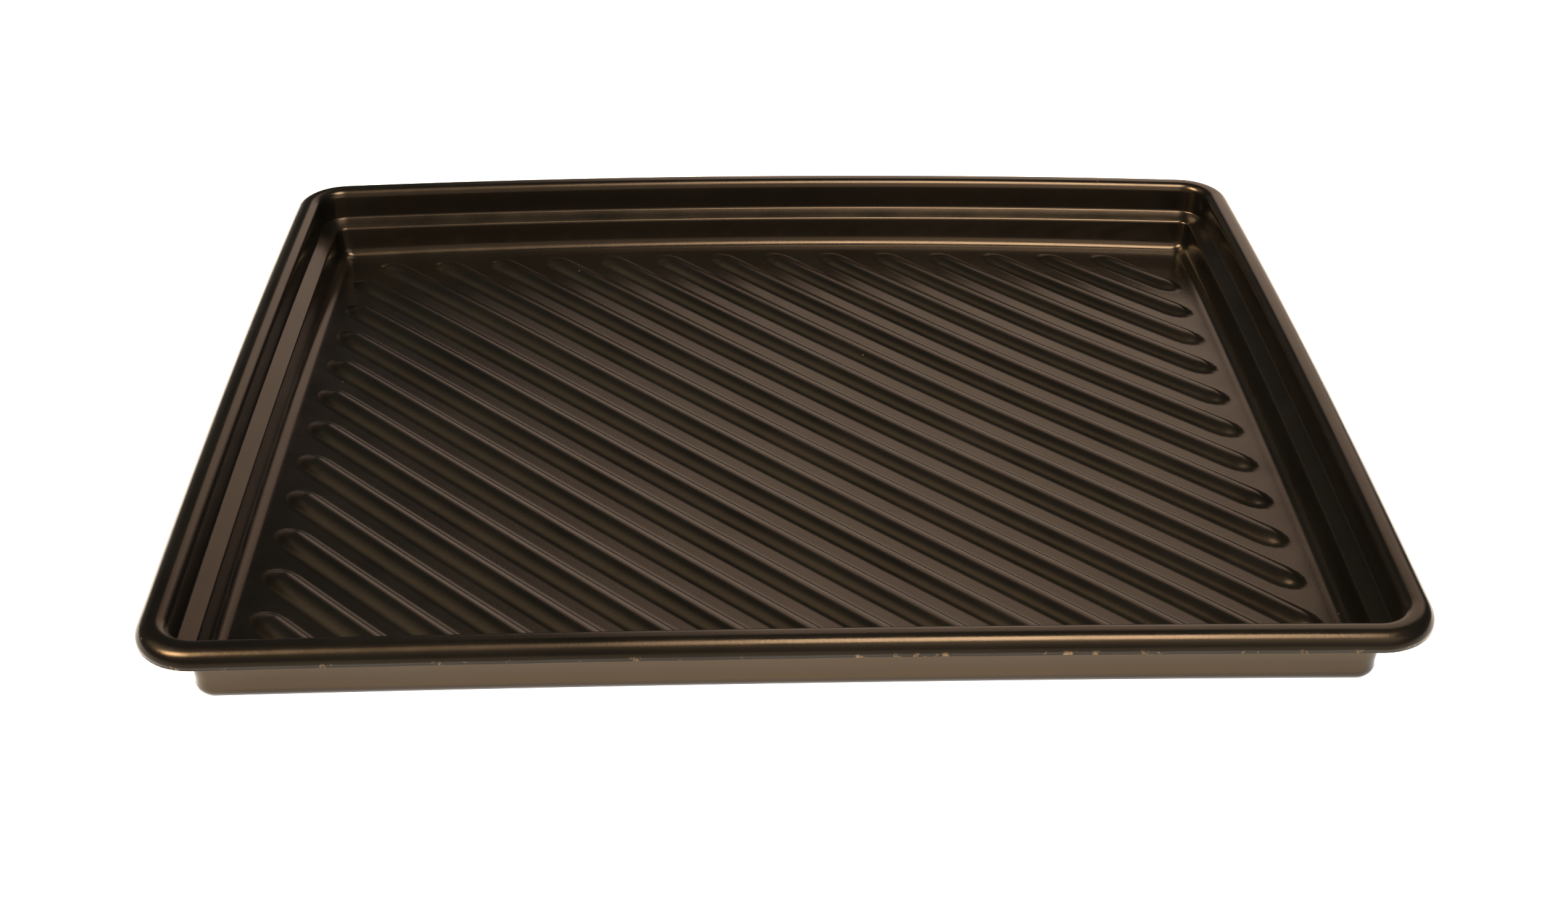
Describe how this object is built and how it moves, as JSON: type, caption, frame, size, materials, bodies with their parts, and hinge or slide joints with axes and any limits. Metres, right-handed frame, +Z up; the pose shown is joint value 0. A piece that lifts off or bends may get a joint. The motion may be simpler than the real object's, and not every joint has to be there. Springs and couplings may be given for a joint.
{
  "type": "oil drain pan",
  "caption": "Shallow rectangular pan formed from one black plastic sheet, with a rolled rim, stepped walls and a diagonally ribbed floor, to catch oil under a vehicle.",
  "frame": {"origin": "middle of the flat underside", "axes": "+X along the long side, +Y along the short side, +Z up out of the open top"},
  "size_m": [0.9144, 0.762, 0.07],
  "materials": {
    "black_sheet_plastic": "black formed plastic sheet, semi-gloss with a brownish sheen"
  },
  "bodies": {
    "root": {"pan": "black_sheet_plastic"}
  },
  "joints": []
}
